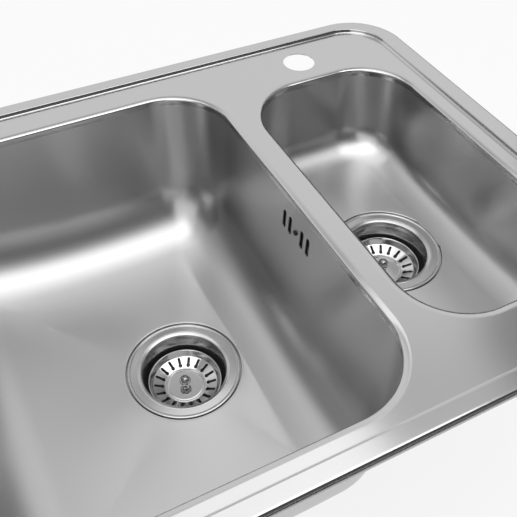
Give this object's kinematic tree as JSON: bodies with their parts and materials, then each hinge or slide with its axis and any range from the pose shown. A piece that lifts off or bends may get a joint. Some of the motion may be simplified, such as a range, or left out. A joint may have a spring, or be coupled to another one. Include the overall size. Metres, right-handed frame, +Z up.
{
  "type": "kitchen sink",
  "caption": "Inset steel kitchen sink with a main bowl, a shallower half bowl, lift-out basket strainers, an overflow and hold-down clips.",
  "frame": {"origin": "middle of the rim's seat, on the worktop's top face", "axes": "+X along the sink towards the half bowl, +Y to the back, +Z up"},
  "size_m": [0.62, 0.5, 0.27],
  "materials": {
    "satin_steel": "satin brushed",
    "polished_steel": "polished",
    "fastener_steel": "turned",
    "zinc_steel": "zinc plated",
    "brass": "turned",
    "white_plastic": "moulded",
    "grey_nylon": "moulded",
    "black_rubber": "matt",
    "seal_foam": "closed-cell foam",
    "bitumen_pad": "matt"
  },
  "bodies": {
    "sink": {"deck": "satin_steel", "main_bowl": "satin_steel", "half_bowl": "satin_steel", "rim_seal": "seal_foam", "main_left_sound_pad": "bitumen_pad", "main_back_sound_pad": "bitumen_pad", "half_right_sound_pad": "bitumen_pad", "main_strainer_cup": "polished_steel", "main_upper_gasket": "black_rubber", "main_lower_gasket": "black_rubber", "main_waste_body": "white_plastic", "main_clamp_nut": "brass", "main_clamp_screw": "fastener_steel", "half_strainer_cup": "polished_steel", "half_upper_gasket": "black_rubber", "half_lower_gasket": "black_rubber", "half_waste_body": "white_plastic", "half_clamp_nut": "brass", "half_clamp_screw": "fastener_steel", "overflow_gasket": "black_rubber", "overflow_housing": "white_plastic", "overflow_screw": "fastener_steel", "overflow_pipe": "white_plastic", "overflow_lower_sleeve": "black_rubber", "overflow_upper_sleeve": "black_rubber", "clip_bases": "zinc_steel"},
    "main_basket_unit": {"main_basket": "polished_steel", "main_basket_knob": "polished_steel", "main_basket_stem": "grey_nylon", "main_basket_seal": "black_rubber"},
    "half_basket_unit": {"half_basket": "polished_steel", "half_basket_knob": "polished_steel", "half_basket_stem": "grey_nylon", "half_basket_seal": "black_rubber"},
    "front_left_screw": {"front_left_clip_screw": "zinc_steel"},
    "front_left_claw": {"front_left_clip_claw": "zinc_steel"},
    "front_right_screw": {"front_right_clip_screw": "zinc_steel"},
    "front_right_claw": {"front_right_clip_claw": "zinc_steel"},
    "back_left_screw": {"back_left_clip_screw": "zinc_steel"},
    "back_left_claw": {"back_left_clip_claw": "zinc_steel"},
    "back_right_screw": {"back_right_clip_screw": "zinc_steel"},
    "back_right_claw": {"back_right_clip_claw": "zinc_steel"},
    "left_screw": {"left_clip_screw": "zinc_steel"},
    "left_claw": {"left_clip_claw": "zinc_steel"},
    "right_screw": {"right_clip_screw": "zinc_steel"},
    "right_claw": {"right_clip_claw": "zinc_steel"}
  },
  "joints": [
    {"name": "main_basket_lift", "type": "slide", "parent": "sink", "child": "main_basket_unit", "axis": [0, 0, 1], "range_m": [0, 0.25]},
    {"name": "half_basket_lift", "type": "slide", "parent": "sink", "child": "half_basket_unit", "axis": [0, 0, 1], "range_m": [0, 0.185]},
    {"name": "front_left_screw_advance", "type": "slide", "parent": "sink", "child": "front_left_screw", "axis": [0, 0, 1], "range_m": [0, 0.014]},
    {"name": "front_left_claw_swing", "type": "hinge", "parent": "front_left_screw", "child": "front_left_claw", "pos_m": [-0.165, -0.227, -0.0513], "axis": [0, 0, 1], "range_deg": [0, 90]},
    {"name": "front_right_screw_advance", "type": "slide", "parent": "sink", "child": "front_right_screw", "axis": [0, 0, 1], "range_m": [0, 0.014]},
    {"name": "front_right_claw_swing", "type": "hinge", "parent": "front_right_screw", "child": "front_right_claw", "pos_m": [0.165, -0.227, -0.0513], "axis": [0, 0, 1], "range_deg": [0, 90]},
    {"name": "back_left_screw_advance", "type": "slide", "parent": "sink", "child": "back_left_screw", "axis": [0, 0, 1], "range_m": [0, 0.014]},
    {"name": "back_left_claw_swing", "type": "hinge", "parent": "back_left_screw", "child": "back_left_claw", "pos_m": [-0.165, 0.227, -0.0513], "axis": [0, 0, 1], "range_deg": [0, 90]},
    {"name": "back_right_screw_advance", "type": "slide", "parent": "sink", "child": "back_right_screw", "axis": [0, 0, 1], "range_m": [0, 0.014]},
    {"name": "back_right_claw_swing", "type": "hinge", "parent": "back_right_screw", "child": "back_right_claw", "pos_m": [0.165, 0.227, -0.0513], "axis": [0, 0, 1], "range_deg": [0, 90]},
    {"name": "left_screw_advance", "type": "slide", "parent": "sink", "child": "left_screw", "axis": [0, 0, 1], "range_m": [0, 0.014]},
    {"name": "left_claw_swing", "type": "hinge", "parent": "left_screw", "child": "left_claw", "pos_m": [-0.282, -0.009, -0.0513], "axis": [0, 0, 1], "range_deg": [0, 90]},
    {"name": "right_screw_advance", "type": "slide", "parent": "sink", "child": "right_screw", "axis": [0, 0, 1], "range_m": [0, 0.014]},
    {"name": "right_claw_swing", "type": "hinge", "parent": "right_screw", "child": "right_claw", "pos_m": [0.282, -0.009, -0.0513], "axis": [0, 0, 1], "range_deg": [0, 90]}
  ]
}
